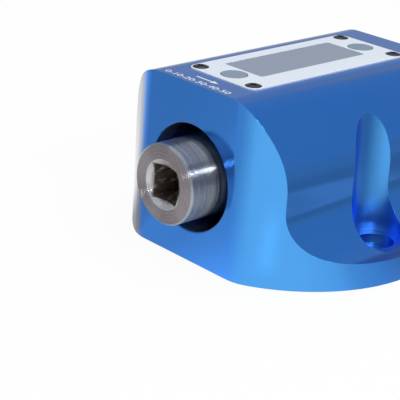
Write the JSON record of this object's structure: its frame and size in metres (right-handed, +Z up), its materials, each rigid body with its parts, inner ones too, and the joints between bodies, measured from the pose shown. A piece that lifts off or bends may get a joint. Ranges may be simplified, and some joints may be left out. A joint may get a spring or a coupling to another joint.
{
  "type": "torque tester",
  "caption": "Bench torque tester: milled blue housing on a round foot, a front drive boss with a square socket, and a top panel with a display and keys.",
  "frame": {"origin": "middle of the flat underside of the foot, between its two flats", "axes": "+Z up off the bench, -Y the way the square drive looks, +X across the foot to its other bolt hole"},
  "size_m": [0.12, 0.12, 0.0676],
  "materials": {
    "anodised_blue": "satin blue anodised",
    "turned_steel": "fine turned",
    "black_steel": "blackened",
    "gauge_foil": "foil on film",
    "black_plastic": "moulded",
    "white_panel": "satin film",
    "grey_pane": "clear pane over a grey display",
    "grey_key": "satin",
    "board_green": "glass fibre laminate",
    "brass": "turned",
    "battery_foil": "laminated foil",
    "display_glass": "display module"
  },
  "bodies": {
    "tester": {"housing": "anodised_blue", "transducer": "turned_steel", "transducer_screw_1": "black_steel", "transducer_screw_2": "black_steel", "transducer_screw_3": "black_steel", "transducer_screw_4": "black_steel", "transducer_screw_5": "black_steel", "transducer_screw_6": "black_steel", "strain_gauge_1": "gauge_foil", "strain_gauge_2": "gauge_foil", "strain_gauge_3": "gauge_foil", "strain_gauge_4": "gauge_foil", "gauge_lead": "black_plastic", "face_panel": "white_panel", "panel_screw_1": "black_steel", "panel_screw_2": "black_steel", "panel_screw_3": "black_steel", "panel_screw_4": "black_steel", "display_window": "grey_pane", "key_switch_front": "black_plastic", "key_switch_rear": "black_plastic", "circuit_board": "board_green", "standoff_1": "brass", "standoff_2": "brass", "standoff_3": "brass", "standoff_4": "brass", "board_screw_1": "turned_steel", "board_screw_2": "turned_steel", "board_screw_3": "turned_steel", "board_screw_4": "turned_steel", "battery_pack": "battery_foil", "lcd_module": "display_glass", "amplifier_chip": "black_plastic", "charging_port": "turned_steel"},
    "front_key": {"key_front": "grey_key"},
    "rear_key": {"key_rear": "grey_key"}
  },
  "joints": [
    {"name": "front_key_press", "type": "slide", "parent": "tester", "child": "front_key", "axis": [0, 0, -1], "range_m": [0, 0.00035], "stiffness_N_per_m": 900},
    {"name": "rear_key_press", "type": "slide", "parent": "tester", "child": "rear_key", "axis": [0, 0, -1], "range_m": [0, 0.00035], "stiffness_N_per_m": 900}
  ]
}
